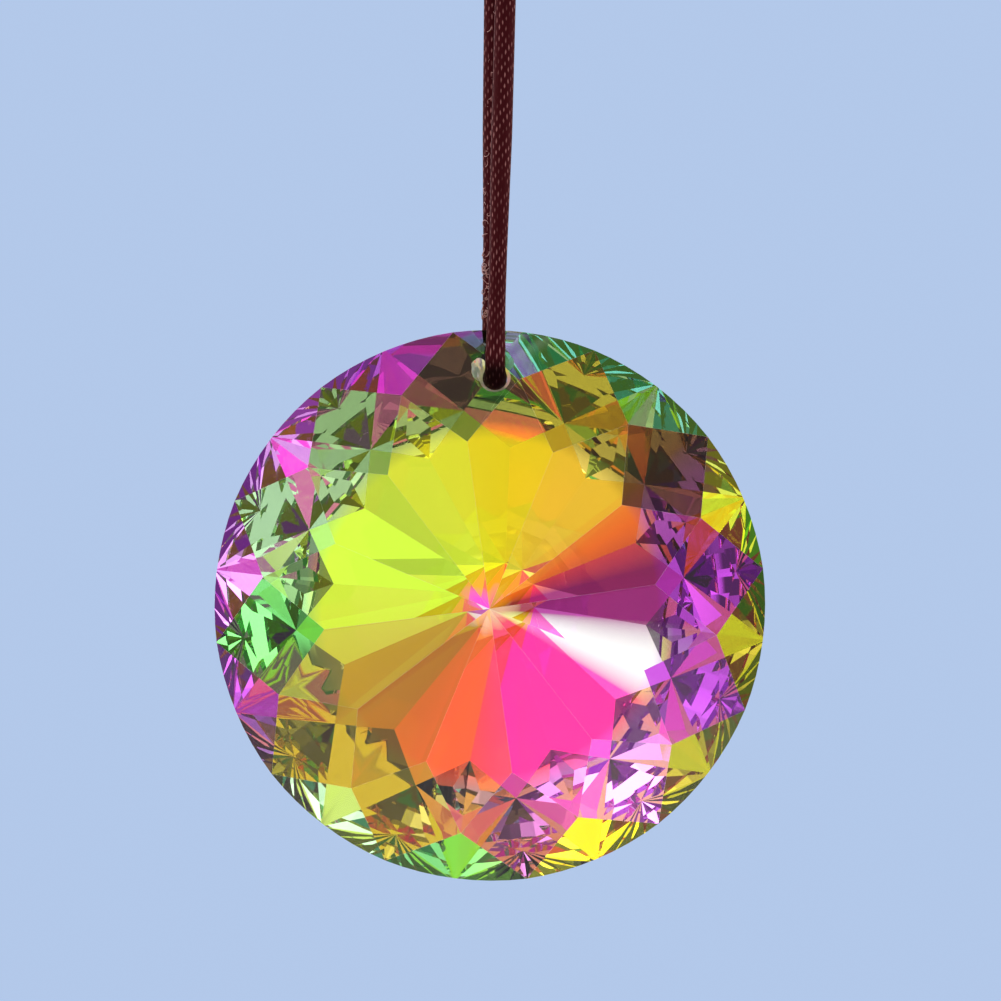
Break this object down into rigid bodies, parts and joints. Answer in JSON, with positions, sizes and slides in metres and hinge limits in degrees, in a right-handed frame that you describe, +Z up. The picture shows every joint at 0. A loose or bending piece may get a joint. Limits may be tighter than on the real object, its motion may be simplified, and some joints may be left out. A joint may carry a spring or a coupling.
{
  "type": "crystal suncatcher",
  "caption": "Round clear crystal disc, faceted front and back, hung by a satin cord through a hole near its rim, with a knot and an eye above.",
  "frame": {"origin": "underside of the top of the hanging eye, where a hook carries the suncatcher", "axes": "+Z up, front faces -Y, +X to the right as seen from the front"},
  "size_m": [0.06, 0.0329, 0.1219],
  "materials": {
    "crystal": "cut and polished crystal with a colour-changing coating",
    "cord": "dark brown satin cord"
  },
  "bodies": {
    "root": {"crystal_disc": "crystal", "hanging_cord": "cord", "cord_knot": "cord", "hanging_eye": "cord"}
  },
  "joints": []
}
